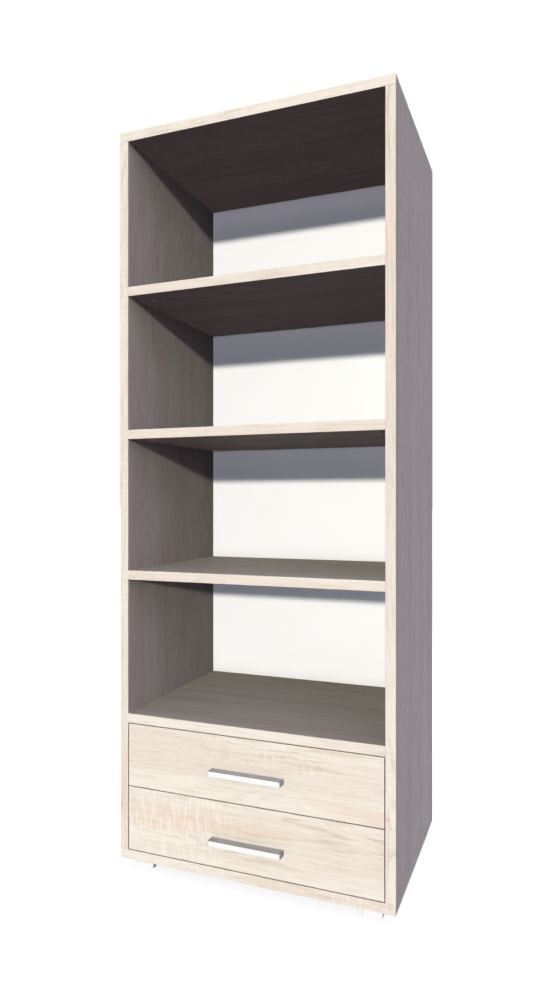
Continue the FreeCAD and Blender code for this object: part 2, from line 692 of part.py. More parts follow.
def make_drawer_front(drawer):
    """The inset front, flush with the carcass edges."""
    height = FRONT_HEIGHTS[drawer]
    x = f"-({INNER} / 2 - front_gap)"
    corner = (x, FRONT, f"{SIDE_BASE} + {FRONT_BASES[drawer]}")
    body, slab = block(f"{drawer}_drawer_front", (f"({INNER} - 2 * front_gap)", "board", height), corner)
    round_edges(body, slab, "edge_radius", lambda point: True)
    x_shift = "(runner_gap - front_gap)"
    z_shift = f"(runner_rise + {BOX_RISE})"
    drill(body, "XZ", front_screw_centres(x_shift, z_shift), loose("front_screw_radius"),
          "front_screw_grip", "board", forward=False)
    centres = handle_screw_centres(x_shift, handle_height_above_front_base(drawer))
    drill(body, "XZ", centres, loose("handle_screw_radius"), "board")


def make_drawer_box(drawer):
    """The four box boards with a bottom held in their grooves, and the screws that join them."""
    x = f"-{BOX_WIDTH} / 2"
    y = f"{FRONT} + board"
    z = box_base(drawer)
    groove_top = "(bottom_rise + bottom_thickness + groove_slack)"
    heights = [f"({share} * box_height)" for share in BOX_SCREW_SHARES]
    ends = ("box_board / 2", f"({BOX_LENGTH} - box_board / 2)")
    runner_centres = [
        (f"(rail_setback + {share} * {RAIL_LENGTH})", f"({RUNNER_SCREW_HEIGHT} - {BOX_RISE})")
        for share in RUNNER_SCREW_SHARES
    ]
    for side, inward in INWARD.items():
        near = x if side == "left" else f"{BOX_WIDTH} / 2 - box_board"
        size = ("box_board", BOX_LENGTH, "box_height")
        body, slab = block(f"{drawer}_box_{side}", size, (near, y, z))
        outer, inner = ("0", "box_board") if inward > 0 else ("box_board", "0")
        groove = rectangle("0", BOX_LENGTH, "bottom_rise", groove_top)
        extrude(body, "Pocket", "YZ", [groove], "bottom_groove", inner, inward < 0)
        centres = pairs(ends, heights)
        drill(body, "YZ", centres, loose("box_screw_radius"), "box_board", outer, inward > 0)
        drill(body, "YZ", centres, loose("box_head_radius"), "box_head_height", outer, inward > 0)
        drill(body, "YZ", runner_centres, loose("runner_screw_radius"), RUNNER_SCREW_GRIP, outer, inward > 0)
    for end, shift in (("front", "0"), ("back", f"({BOX_LENGTH} - box_board)")):
        size = (BOX_INNER, "box_board", "box_height")
        body, slab = block(f"{drawer}_box_{end}", size, (f"-{BOX_INNER} / 2", f"{y} + {shift}", z))
        groove = rectangle("0", BOX_INNER, "bottom_rise", groove_top)
        inner = "box_board" if end == "front" else "0"
        extrude(body, "Pocket", "XZ", [groove], "bottom_groove", inner, end == "back")
        centres = pairs(["box_board / 2"], heights)
        grip = "(box_screw_grip - box_board + box_head_height)"
        drill(body, "YZ", centres, loose("box_screw_radius"), grip)
        drill(body, "YZ", centres, loose("box_screw_radius"), grip, BOX_INNER, forward=False)
        if end == "front":
            shift_in = "(-box_board)"
            drill(body, "XZ", front_screw_centres(shift_in, "0"), loose("front_screw_radius"), "box_board")
            handle_centres = handle_screw_centres(shift_in, handle_height_in_box(drawer))
            drill(body, "XZ", handle_centres, loose("handle_screw_radius"), "box_board")
    reach = "(bottom_groove - groove_play)"
    inner_length = f"({BOX_LENGTH} - 2 * box_board)"
    size = (f"({BOX_INNER} + 2 * {reach})", f"({inner_length} + 2 * {reach})", "bottom_thickness")
    corner = (f"-({BOX_INNER} / 2 + {reach})", f"{y} + box_board - {reach}", f"{z} + bottom_rise")
    block(f"{drawer}_box_bottom", size, corner)
    screws = new_body(f"{drawer}_box_screws", "0", y, z)
    outer = f"({BOX_WIDTH} / 2)"
    seat = f"({outer} - box_head_height)"
    centres = pairs(ends, heights)
    tip = f"{seat} - box_screw_grip + dowel_play"
    pins(screws, "YZ", centres, "box_screw_radius", tip, seat)
    pins(screws, "YZ", centres, "box_head_radius", seat, outer)
    mirror(screws)


def make_front_screws(drawer):
    """Screws from inside the box into the front, and through both into the handle."""
    y = f"{FRONT} + board"
    x = f"-{BOX_WIDTH} / 2"
    head_start = "box_board"
    screws = new_body(f"{drawer}_front_screws", x, y, box_base(drawer))
    centres = front_screw_centres("0", "0")
    tip = "dowel_play - front_screw_grip"
    pins(screws, "XZ", centres, "front_screw_radius", tip, head_start)
    pins(screws, "XZ", centres, "front_head_radius", head_start, "box_board + front_head_height")
    handle_screws = new_body(f"{drawer}_handle_screws", x, y, box_base(drawer))
    centres = handle_screw_centres("0", handle_height_in_box(drawer))
    tip = "dowel_play - board - handle_thread"
    pins(handle_screws, "XZ", centres, "handle_screw_radius", tip, head_start)
    pins(handle_screws, "XZ", centres, "handle_head_radius", head_start, "box_board + handle_head_height")


def handle_top_at(depth):
    """Height of the handle's top at a depth in front of the drawer: it falls from the nose to the back."""
    return f"(handle_height - {HANDLE_SLOPE} * (handle_projection - {depth}))"


def make_handle(drawer):
    """An extruded bar with a falling, dished top, a finger channel below and plugged end caps."""
    middle = f"{FRONT_BASES[drawer]} + {handle_height_above_front_base(drawer)}"
    base = f"{SIDE_BASE} + {middle} - handle_height / 2"
    half = "(handle_length / 2 - handle_cap)"
    nose = "-handle_projection"
    lip_depth = "(handle_projection - handle_lip)"
    lip_roof = f"({handle_top_at(lip_depth)} - handle_top)"
    back_roof = f"({handle_top_at('handle_back')} - handle_top)"
    body = new_body(f"{drawer}_handle", "0", FRONT, base)
    outside = [("0", "0"), ("0", handle_top_at("0")), (nose, "handle_height"), (nose, "0")]
    lip = f"-{lip_depth}"
    channel = [(lip, "0"), (lip, lip_roof), ("-handle_back", back_roof), ("-handle_back", "0")]
    bar = extrude(body, "Pad", "YZ", [polygon(outside + channel)], f"2 * {half}", f"-{half}")
    nose_plane = value(nose) + TINY
    round_edges(body, bar, "handle_edge", lambda point: abs(point.x) < TINY and point.y < nose_plane)
    lean = f"((1 + {HANDLE_SLOPE} * {HANDLE_SLOPE}) ^ 0.5)"
    width = f"((handle_projection - 2 * handle_edge) * {lean})"
    dish_radius = f"(({width} * {width} / 4 + handle_dish * handle_dish) / (2 * handle_dish))"
    reach = f"(({dish_radius} - handle_dish) / {lean})"
    dish_across = f"({HANDLE_SLOPE} * {reach} - handle_projection / 2)"
    dish_up = f"(handle_height - handle_fall / 2 + {reach})"
    dish = circles([(dish_across, dish_up)], dish_radius)
    extrude(body, "Pocket", "YZ", [dish], f"2 * {half}", f"-{half}")
    hole_centres = pairs([f"-{HANDLE_SPACING} / 2", f"{HANDLE_SPACING} / 2"], ["handle_height / 2"])
    drill(body, "XZ", hole_centres, loose("handle_screw_radius"), "handle_thread", "0", forward=False)

    caps = new_body(f"{drawer}_handle_caps", "0", FRONT, base)
    plate = extrude(caps, "Pad", "YZ", [polygon(outside)], "handle_cap", half)
    cap_middle = value(f"{half} + handle_cap / 2")
    round_edges(caps, plate, "handle_edge",
                lambda point: abs(point.x - cap_middle) < TINY and point.y < nose_plane)
    plug_front = f"(fit_clearance - {lip_depth})"
    plug_back = "(-handle_back - fit_clearance)"
    plug_outline = [(plug_front, "handle_edge"), (plug_front, f"({lip_roof} - fit_clearance)"),
                    (plug_back, f"({back_roof} - fit_clearance)"), (plug_back, "handle_edge")]
    extrude(caps, "Pad", "YZ", [polygon(plug_outline)], "handle_plug", half, forward=False)
    mirror(caps)


make_carcass()
make_back_panel()
make_feet()
make_carcass_fittings()
make_running_gear()
for drawer in FRONT_BASES:
    make_drawer_front(drawer)
    make_drawer_box(drawer)
    make_front_screws(drawer)
    make_handle(drawer)
doc.recompute()

for item in doc.Objects:
    if "Invalid" in item.State or "Error" in item.State:
        raise RuntimeError(f"{item.Label} failed: {item.State}")
    if item.TypeId == "PartDesign::Pocket" and item.Shape.Volume > item.BaseFeature.Shape.Volume - TINY:
        raise RuntimeError(f"{item.Label} in {item.getParentGeoFeatureGroup().Label} cuts nothing")
for node in nodes:
    if node.Shape.isNull() or not node.Shape.isValid():
        raise RuntimeError(f"{node.Label} has no valid shape")
os.makedirs("parts", exist_ok=True)
for node in nodes:
    node.Shape.exportStep(f"parts/{node.Label}.step")
    print(f"{node.Label}: {len(node.Shape.Solids)} solids, {node.Shape.Volume:.0f} mm3")
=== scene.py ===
# %% [markdown]
# # Office shelving unit
# A tall bookcase in pale oak decor with four open bays, a white back and two drawers.
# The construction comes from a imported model, so this lesson makes no boards of its own. It dresses the
# boards, shapes the small fittings that a close look shows, and sets up the camera and the light.

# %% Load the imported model
import math

import bpy
import numpy as np
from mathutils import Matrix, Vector


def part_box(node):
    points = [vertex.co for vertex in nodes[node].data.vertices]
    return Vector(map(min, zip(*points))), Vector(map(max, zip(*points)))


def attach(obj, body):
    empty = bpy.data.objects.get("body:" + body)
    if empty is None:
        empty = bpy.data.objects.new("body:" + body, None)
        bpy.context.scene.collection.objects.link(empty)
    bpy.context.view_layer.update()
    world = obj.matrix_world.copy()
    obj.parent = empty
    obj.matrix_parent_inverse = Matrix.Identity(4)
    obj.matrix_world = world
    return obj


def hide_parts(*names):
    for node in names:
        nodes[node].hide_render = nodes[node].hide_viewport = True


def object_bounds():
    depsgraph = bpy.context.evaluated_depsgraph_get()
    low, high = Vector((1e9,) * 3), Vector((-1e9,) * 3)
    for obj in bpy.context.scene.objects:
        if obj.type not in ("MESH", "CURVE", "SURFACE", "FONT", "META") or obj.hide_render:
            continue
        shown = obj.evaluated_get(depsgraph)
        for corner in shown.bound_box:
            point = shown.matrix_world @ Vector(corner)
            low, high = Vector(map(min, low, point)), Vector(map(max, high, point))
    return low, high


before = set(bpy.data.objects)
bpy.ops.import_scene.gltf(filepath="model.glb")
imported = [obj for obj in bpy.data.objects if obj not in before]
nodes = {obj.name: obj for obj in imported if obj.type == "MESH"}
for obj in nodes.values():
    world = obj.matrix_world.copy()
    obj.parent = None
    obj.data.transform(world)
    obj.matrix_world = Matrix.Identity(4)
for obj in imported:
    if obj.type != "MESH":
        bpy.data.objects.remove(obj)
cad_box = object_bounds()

scene = bpy.context.scene
print("pieces in the model:", len(nodes), "box:", [list(corner) for corner in cad_box])

# %% [markdown]
# ## The camera
# The photograph was taken from the right, at about half the unit's height, with a level camera, so all
# uprights stay parallel. The place and lens could be found by eye, but here they were fitted: they are the
# values that bring the boards' corners to where the picture has them.

# %% Camera at the photograph's viewing angle
CAMERA_PLACE = (0.6310, -1.6523, 0.8731)
CAMERA_TURN = math.radians(21.42)
CAMERA_LENS = 25.53
LONG_SIDE_SENSOR = 36
QUARTER_TURN = math.radians(90)

camera = bpy.data.objects.new("photo_camera", bpy.data.cameras.new("photo_camera"))
camera.data.lens = CAMERA_LENS
camera.data.sensor_width = LONG_SIDE_SENSOR
camera.location = CAMERA_PLACE
camera.rotation_euler = (QUARTER_TURN, 0, CAMERA_TURN)
scene.collection.objects.link(camera)
scene.camera = camera
print("camera turned", round(math.degrees(CAMERA_TURN), 1), "degrees to the left")

# %% [markdown]
# ## Small helpers for shader nodes
# Every finish below is a handful of nodes. Writing each node in four lines would hide the idea, so small
# helpers add a node with its inputs, mix two colours by a mask, calculate with values and lay soft noise.
# Colours are written as the screen values that one reads in a picture, and turned into light values here.

# %% Node helpers
# A Mix node has sockets for every kind of data. These are the ones for colours.
MIX_MASK, MIX_FIRST, MIX_SECOND, MIX_RESULT = 0, 6, 7, 2


def paint(red, green, blue):
    """Light values of a screen colour: the standard screen curve, undone."""
    screen = np.array((red, green, blue)) / 255
    light = np.where(screen > 0.04045, ((screen + 0.055) / 1.055) ** 2.4, screen / 12.92)
    return (*light.tolist(), 1.0)


def add(tree, kind, inputs=None, **settings):
    """A new shader node: settings are its own choices, inputs are values or sockets to join."""
    made = tree.nodes.new("ShaderNode" + kind)
    for name, setting in settings.items():
        setattr(made, name, setting)
    for name, given in (inputs or {}).items():
        if isinstance(given, bpy.types.NodeSocket):
            tree.links.new(given, made.inputs[name])
        else:
            made.inputs[name].default_value = given
    return made


def mix(tree, mask, first, second):
    """The first colour where the mask is 0, the second where it is 1."""
    inputs = {MIX_MASK: mask, MIX_FIRST: first, MIX_SECOND: second}
    return add(tree, "Mix", inputs, data_type="RGBA").outputs[MIX_RESULT]


def combine(tree, first, second, operation="ADD"):
    """Two values in one calculation: a sum, unless another one is named."""
    return add(tree, "Math", {0: first, 1: second}, operation=operation).outputs[0]


def product(tree, first, *others):
    """Values multiplied one after another."""
    for other in others:
        first = combine(tree, first, other, "MULTIPLY")
    return first


def ramp(tree, amount, low, high, start=0.0, end=1.0):
    """A smooth step: start below low, end above high."""
    inputs = {"Value": amount, "From Min": low, "From Max": high, "To Min": start, "To Max": end}
    return add(tree, "MapRange", inputs, interpolation_type="SMOOTHSTEP").outputs[0]


def cloud(tree, place, stretch, detail=2.0, twist=0.0):
    """Soft noise, with stretch as the number of features per metre in each direction."""
    spread = add(tree, "VectorMath", {0: place, 1: stretch}, operation="MULTIPLY").outputs[0]
    inputs = {"Vector": spread, "Scale": 1.0, "Detail": detail, "Roughness": 0.5, "Distortion": twist}
    return add(tree, "TexNoise", inputs).outputs[0]


print("white paper in light values:", [round(value, 3) for value in paint(250, 250, 247)[:3]])

# %% [markdown]
# ## The lamps
# The photograph has one main light in front, a little to the right and only eleven degrees up: each shelf
# throws a shadow a hand's width down the white back. A cooler light comes level from the front and softens
# that shadow. A weak, pinkish one comes up from the floor to the undersides. A broad, soft light at the
# front right, as from a window, reaches the inner left faces, and a weak blue one from the right reaches
# little but the outer right side. A ring of equal lamps would flatten all this.
#
# Here each of these lights is a sun, because a sun is as strong at the top of the unit as at its foot. Rise
# and turn are the angles at which it stands above the floor and to the right of the front. One more sun,
# above and a little behind, reaches only the top and what stands out in front, such as an open drawer. A
# broad lamp behind the unit is for the views from the rear.

# %% Suns and rear lamp
SUNS = {
    "key_lamp": {"rise": 11.4, "turn": 6, "width": 2.5, "energy": 2.58, "color": (1.0, 0.985, 0.94)},
    "fill_lamp": {"rise": -1, "turn": 4, "width": 6, "energy": 0.62, "color": (0.78, 0.815, 1.0)},
    "floor_light": {"rise": -33, "turn": 4, "width": 6, "energy": 0.23, "color": (1.0, 0.755, 0.99)},
    "window_light": {"rise": 10, "turn": 60, "width": 60, "energy": 0.7, "color": (0.87, 0.7, 1.0)},
    "side_light": {"rise": 5, "turn": 90, "width": 8, "energy": 0.27, "color": (0.3, 0.57, 1.0)},
    "top_light": {"rise": 88.4, "turn": 180, "width": 1, "energy": 1.1, "color": (1.0, 1.0, 0.95)},
}
REAR_LAMP_PLACE = (-0.9, 2.2, 2.2)
REAR_LAMP_AIM = (0, 0.2, 0.9)
REAR_LAMP_SIDE = 1.6
REAR_LAMP_POWER = 46


def hang_lamp(name, kind, beam):
    """A lamp that shines along the beam."""
    lamp = bpy.data.objects.new(name, bpy.data.lights.new(name, kind))
    lamp.rotation_euler = beam.to_track_quat("-Z", "Y").to_euler()
    scene.collection.objects.link(lamp)
    return lamp


for name, given in SUNS.items():
    turn, rise = math.radians(given["turn"]), math.radians(given["rise"])
    level = math.cos(rise)
    sun = hang_lamp(name, "SUN", Vector((-math.sin(turn) * level, math.cos(turn) * level, -math.sin(rise))))
    sun.data.energy = given["energy"]
    sun.data.angle = math.radians(given["width"])
    sun.data.color = given["color"]

rear_lamp = hang_lamp("rear_lamp", "AREA", Vector(REAR_LAMP_AIM) - Vector(REAR_LAMP_PLACE))
rear_lamp.location = REAR_LAMP_PLACE
rear_lamp.data.size = REAR_LAMP_SIDE
rear_lamp.data.energy = REAR_LAMP_POWER
print("suns:", len(SUNS), "and one lamp behind")

# %% [markdown]
# ## The surroundings
# The bays of the photograph stay dark, because hardly any light is thrown from board to board. So the
# diffuse bounces are switched off. What is left is a weak ambient light from above the horizon. It is
# stronger from high up and from the left, so that a face that no lamp reaches isn't black. The background
# is white for the camera and for reflections only, so it never adds light to the boards.

# %% World
LOW_AMBIENT = (0.05, 0.04, 0.07, 1.0)
HIGH_AMBIENT = (0.24, 0.2, 0.31, 1.0)
LEFT_AMBIENT = (0.34, 0.29, 0.36, 1.0)
HORIZON = (-0.05, 0.05)
LEFT_EDGE = (-0.7, -0.35)
HIGH_EDGE = (0.45, 0.8)
WHITE = (1, 1, 1, 1)


def shown_rays(tree):
    """One for rays from the camera and for reflected and refracted rays, nought for the light itself."""
    light_path = add(tree, "LightPath").outputs
    sharp = combine(tree, light_path["Is Glossy Ray"], light_path["Is Transmission Ray"], "MAXIMUM")
    return combine(tree, light_path["Is Camera Ray"], sharp, "MAXIMUM")


scene.cycles.diffuse_bounces = 0
world = bpy.data.worlds.new("studio")
scene.world = world
world.use_nodes = True
sky = world.node_tree
sky.nodes.clear()
direction = add(sky, "SeparateXYZ", {0: add(sky, "TexCoord").outputs["Generated"]}).outputs
above = ramp(sky, direction["Z"], *HORIZON)
low_tint = mix(sky, ramp(sky, direction["X"], *LEFT_EDGE), LEFT_AMBIENT, LOW_AMBIENT)
tint = mix(sky, ramp(sky, direction["Z"], *HIGH_EDGE), low_tint, HIGH_AMBIENT)
ambient = add(sky, "Background", {"Color": tint, "Strength": above})
background = add(sky, "Background", {"Color": WHITE})
seen = add(sky, "MixShader", {0: shown_rays(sky), 1: ambient.outputs[0], 2: background.outputs[0]})
add(sky, "OutputWorld", {"Surface": seen.outputs[0]})
print("ambient", LOW_AMBIENT[:3], "high up", HIGH_AMBIENT[:3], "from the left", LEFT_AMBIENT[:3])

# %% [markdown]
# ## The floor
# The unit stands on a white floor that runs into the white background with no line between them. A curved
# sheet would do that in a studio. Here it is a very large plate with two parts: a matt one that takes the
# unit's shadow, and a glow for the camera that lifts it to the background's white. The plate casts no
# shadow itself, so the sun below it lights the undersides as a pale floor would.

# %% Floor
FLOOR_REACH = 60
FLOOR_GLOW = 0.78
FLOOR_PAINT = paint(232, 232, 232)

floor_mesh = bpy.data.meshes.new("floor")
floor_corners = FLOOR_REACH * np.array([(-1, -1, 0), (1, -1, 0), (1, 1, 0), (-1, 1, 0)])
floor_mesh.from_pydata(floor_corners.tolist(), [], [(0, 1, 2, 3)])
floor = bpy.data.objects.new("floor", floor_mesh)
scene.collection.objects.link(floor)
floor.visible_shadow = False

pale = bpy.data.materials.new("pale_floor")
pale.use_nodes = True
tree = pale.node_tree
tree.nodes.clear()
matt = add(tree, "BsdfDiffuse", {"Color": FLOOR_PAINT})
strength = product(tree, shown_rays(tree), FLOOR_GLOW)
glow = add(tree, "Emission", {"Color": WHITE, "Strength": strength})
both = add(tree, "AddShader", {0: matt.outputs[0], 1: glow.outputs[0]})
add(tree, "OutputMaterial", {"Surface": both.outputs[0]})
floor_mesh.materials.append(pale)
scene.view_settings.view_transform = "Standard"
print("floor reaches", FLOOR_REACH, "metres each way")

# %% [markdown]
# ## Shared effects
# Oak grain, raw board and coated skin are each used by several finishes. Their nodes could be copied into
# every material, but then a change has to be made many times. A node group is built once, with named
# inputs and outputs, and each material gives it its own values.


# %% Group helpers
def new_group(name, inputs, outputs):
    """A shared effect: its node group with named sockets, and the values that a finish gives it."""
    group = bpy.data.node_groups.new(name, "ShaderNodeTree")
    for way, sockets in (("INPUT", inputs), ("OUTPUT", outputs)):
        for socket, kind in sockets.items():
            group.interface.new_socket(socket, in_out=way, socket_type="NodeSocket" + kind)
    return group, group.nodes.new("NodeGroupInput").outputs


def end_group(group, **results):
    """Joins the results of a shared effect to its outputs."""
    ends = group.nodes.new("NodeGroupOutput").inputs
    for name, socket in results.items():
        group.links.new(socket, ends[name])
    print(group.name, "nodes:", len(group.nodes))


print("groups so far:", len(bpy.data.node_groups))

# %% [markdown]
# ## The oak decor
# The boards are chipboard with a printed paper face. The print is a pale, cool oak: long cream and beige
# bands, arches where the log was cut flat, hair-thin fibres, short dark pores, a few pinkish streaks and
# patches of fine cross ticks that copy saw marks. A photograph of the print could be wrapped round each
# board, but a worked-out pattern has no seams, so the edges carry the same grain as the faces.
#
# The trick for the arches: take a smooth cloud that is stretched along the grain and draw its height
# lines. Where the cloud has a long hill, its height lines are nested arches, as in real flat-cut oak.
# The group takes a place with the grain along its first number. Noise lies about one half, so the two
# limits of each ramp say how much of the board a mark covers and how soft its edge is.

# %% Oak grain group: bands and arches
CREAM = paint(235, 231, 214)
BEIGE = paint(228, 220, 203)
LATE_WOOD = paint(206, 194, 169)
BANDS_PER_METRE = (0.8, 15, 15)
STRANDS_PER_METRE = (10, 170, 170)
HILLS_PER_METRE = (1.1, 7.5, 7.5)
FADING_PER_METRE = (2.5, 9, 9)
RINGS_ON_A_HILL = 24

oak_inputs = {"Place": "Vector", "Arches": "Float", "Streaks": "Float", "Saw Marks": "Float"}
oak_outputs = {"Color": "Color", "Roughness": "Float", "Height": "Float"}
oak_grain, given = new_group("Oak grain", oak_inputs, oak_outputs)
place = given["Place"]

broad = cloud(oak_grain, place, BANDS_PER_METRE, detail=3)
colour = mix(oak_grain, ramp(oak_grain, broad, 0.36, 0.66), CREAM, BEIGE)

strands = cloud(oak_grain, place, STRANDS_PER_METRE, detail=3)
hills = cloud(oak_grain, place, HILLS_PER_METRE, detail=1.5, twist=0.3)
levels = combine(oak_grain, product(oak_grain, hills, RINGS_ON_A_HILL), strands)
ring = add(oak_grain, "Math", {0: levels}, operation="FRACT").outputs[0]
ring_line = ramp(oak_grain, ring, 0.5, 0.97)
fading = cloud(oak_grain, place, FADING_PER_METRE, detail=1)
ring_fade = ramp(oak_grain, fading, 0.38, 0.62, start=0.1)
ring_break = ramp(oak_grain, strands, 0.36, 0.6, start=0.25)
ring_mask = product(oak_grain, ring_line, ring_fade, ring_break, given["Arches"])
colour = mix(oak_grain, ring_mask, colour, LATE_WOOD)
print("bands and arches:", len(oak_grain.nodes), "nodes")

# %% [markdown]
# ## Marks on the oak
# Over the bands and arches lie the smaller marks: pinkish streaks, the saw's cross ticks in patches, fibres
# as fine as hairs, and short pores. They could be drawn one by one, but each kind is again a cloud with its
# own stretch: long and thin for a streak, short along the grain and long across it for a saw tick. The
# fibres also drive the gloss and the relief, so a board shines a little unevenly, as embossed paper does.

# %% Oak grain group: streaks, saw marks, fibres and pores
PINK_STREAK = paint(225, 204, 178)
SAW_LIGHT = paint(243, 239, 222)
PORE_BROWN = paint(187, 171, 142)
STREAKS_PER_METRE = (0.9, 20, 20)
SAW_PATCHES_PER_METRE = (2.4, 7, 7)
SAW_TICKS_PER_METRE = (150, 22, 22)
HAIRS_PER_METRE = (24, 430, 430)
PORES_PER_METRE = (34, 820, 820)
HAIR_SHADE = 0.35
PORE_DEPTH = 0.6
OAK_GLOSS = (0.5, 0.64)

streak = ramp(oak_grain, cloud(oak_grain, place, STREAKS_PER_METRE, detail=2), 0.56, 0.74)
colour = mix(oak_grain, product(oak_grain, streak, given["Streaks"]), colour, PINK_STREAK)

saw_patch = ramp(oak_grain, cloud(oak_grain, place, SAW_PATCHES_PER_METRE, detail=1), 0.52, 0.62)
saw_tick = ramp(oak_grain, cloud(oak_grain, place, SAW_TICKS_PER_METRE, detail=1), 0.48, 0.62)
saw_mask = product(oak_grain, saw_patch, saw_tick, given["Saw Marks"])
colour = mix(oak_grain, saw_mask, colour, SAW_LIGHT)

fibre = cloud(oak_grain, place, HAIRS_PER_METRE, detail=3)
for hair in (strands, fibre):
    colour = mix(oak_grain, ramp(oak_grain, hair, 0.45, 0.75, end=HAIR_SHADE), colour, LATE_WOOD)
pore = ramp(oak_grain, cloud(oak_grain, place, PORES_PER_METRE, detail=1), 0.6, 0.72)
pore_patch = ramp(oak_grain, broad, 0.4, 0.6, start=0.15, end=0.5)
colour = mix(oak_grain, product(oak_grain, pore, pore_patch), colour, PORE_BROWN)

satin = ramp(oak_grain, fibre, 0.3, 0.7, *OAK_GLOSS)
relief = combine(oak_grain, fibre, product(oak_grain, pore, PORE_DEPTH), "SUBTRACT")
end_group(oak_grain, Color=colour, Roughness=satin, Height=relief)

# %% [markdown]
# ## Bare chipboard and bare fibreboard
# The maker bands only the edges that show. From behind, the sides, top and bottom show the raw core of
# the board: pale and dark chips pressed flat. The thin back and the drawer bottoms are fibreboard, white
# on the good face and plain brown on the other. Both are small mosaics, so one group serves both, with
# the number of chips per metre and the two colours as its inputs.

# %% Raw core group
WARP_PER_METRE = (90, 90, 90)

core_inputs = {"Place": "Vector", "Chips": "Float", "Light": "Color", "Dark": "Color"}
raw_core, given = new_group("Raw core", core_inputs, {"Color": "Color", "Height": "Float"})
warp = cloud(raw_core, given["Place"], WARP_PER_METRE)
chips = add(raw_core, "TexVoronoi", {"Vector": given["Place"], "Scale": given["Chips"]})
chip_tone = add(raw_core, "SeparateColor", {0: chips.outputs["Color"]}).outputs[0]
tone = product(raw_core, combine(raw_core, chip_tone, warp), 0.5)
colour = mix(raw_core, ramp(raw_core, tone, 0.2, 0.8), given["Light"], given["Dark"])
end_group(raw_core, Color=colour, Height=chips.outputs["Distance"])

# %% [markdown]
# ## From a pattern to a finish
# A finish joins a pattern to one shader: colour, roughness and fine relief. The pattern is laid in the
# piece's own coordinates, so it stays on a drawer when the drawer slides. An unwrapped picture would do
# that as well, but it needs a layout for every piece. Five short helpers are enough for all of them.


# %% Finish helpers
def place_of(tree, shift=(0, 0, 0), turn=(0, 0, 0)):
    """A piece's own coordinates, turned and then moved."""
    own = add(tree, "TexCoord").outputs["Object"]
    return add(tree, "Mapping", {"Vector": own, "Location": shift, "Rotation": turn}).outputs[0]


def new_finish(name, **values):
    """A material with its main shader, whose plain values are set by name."""
    material = bpy.data.materials.new(name)
    material.use_nodes = True
    shader = material.node_tree.nodes["Principled BSDF"]
    for socket, number in values.items():
        shader.inputs[socket.replace("_", " ")].default_value = number
    return material, material.node_tree, shader


def surface(tree, shader, colour, roughness):
    """Joins a colour and a roughness to the shader."""
    tree.links.new(colour, shader.inputs["Base Color"])
    tree.links.new(roughness, shader.inputs["Roughness"])


def emboss(tree, shader, height, depth, strength):
    """Fine relief: the height drives the shader's normal. The depth is in metres."""
    bump = add(tree, "Bump", {"Height": height, "Distance": depth, "Strength": strength})
    tree.links.new(bump.outputs[0], shader.inputs["Normal"])


def dress(node, material):
    """Gives a piece of the model one finish."""
    slots = nodes[node].data.materials
    slots.clear()
    slots.append(material)


print("materials so far:", len(bpy.data.materials))

# %% [markdown]
# ## The oak boards
# Each board is cut from its own stretch of the decor paper, with the grain along the shelves and fronts
# and up the sides. One shared material would show the same streak on every shelf, so each board gets its
# own material that moves the print. The stretches of the two fronts were picked so that the saw marks fall
# about where the photograph has them. The paper hardly shines, and the rear edges of the outer boards are
# left raw.

# %% Oak boards
CHIP_LIGHT = paint(214, 186, 146)
CHIP_DARK = paint(150, 116, 78)
CHIPS_PER_METRE = 330
GRAIN_ALONG = {
    "width": (0, 0, 0),
    "height": (0, QUARTER_TURN, 0),
    "front": (-QUARTER_TURN, 0, 0),
}
FLAT_BOARDS = ("top_panel", "upper_shelf", "middle_shelf", "lower_shelf", "drawer_deck", "bottom_panel")
SIDE_STRETCHES = {"left_side": (5.1, 1.3, 0), "right_side": (8.4, 2.3, 0)}
FRONT_STRETCHES = {"upper": (20.6, 7.08, 0.6), "lower": (23.04, 8.315, 0.6)}
FRONT_SAW_MARKS = {"upper": 0.4, "lower": 0.6}
COVER_STRETCH = (1.3, 0.2, 0.1)
OAK_SHEEN = 0.02
OAK_RELIEF = 0.0002
RAW_SKIN = 0.0004
REAR = cad_box[1].y


def grouped(tree, group, inputs):
    """A shared effect placed in one material."""
    return add(tree, "Group", inputs, node_tree=group).outputs


def oak_finish(name, grain, shift, arches=0.5, streaks=0.55, saw_marks=0.4, raw_rear=False):
    """Oak decor on one board, with its own stretch of the print."""
    material, tree, shader = new_finish(name, Specular_IOR_Level=OAK_SHEEN)
    place = place_of(tree, shift, GRAIN_ALONG[grain])
    inputs = {"Place": place, "Arches": arches, "Streaks": streaks, "Saw Marks": saw_marks}
    oak = grouped(tree, oak_grain, inputs)
    colour = oak["Color"]
    if raw_rear:
        own = place_of(tree)
        inputs = {"Place": own, "Chips": CHIPS_PER_METRE, "Light": CHIP_LIGHT, "Dark": CHIP_DARK}
        chips = grouped(tree, raw_core, inputs)
        depth = add(tree, "SeparateXYZ", {0: own}).outputs["Y"]
        rear = combine(tree, depth, REAR - RAW_SKIN, "GREATER_THAN")
        colour = mix(tree, rear, colour, chips["Color"])
    surface(tree, shader, colour, oak["Roughness"])
    emboss(tree, shader, oak["Height"], OAK_RELIEF, strength=0.25)
    return material


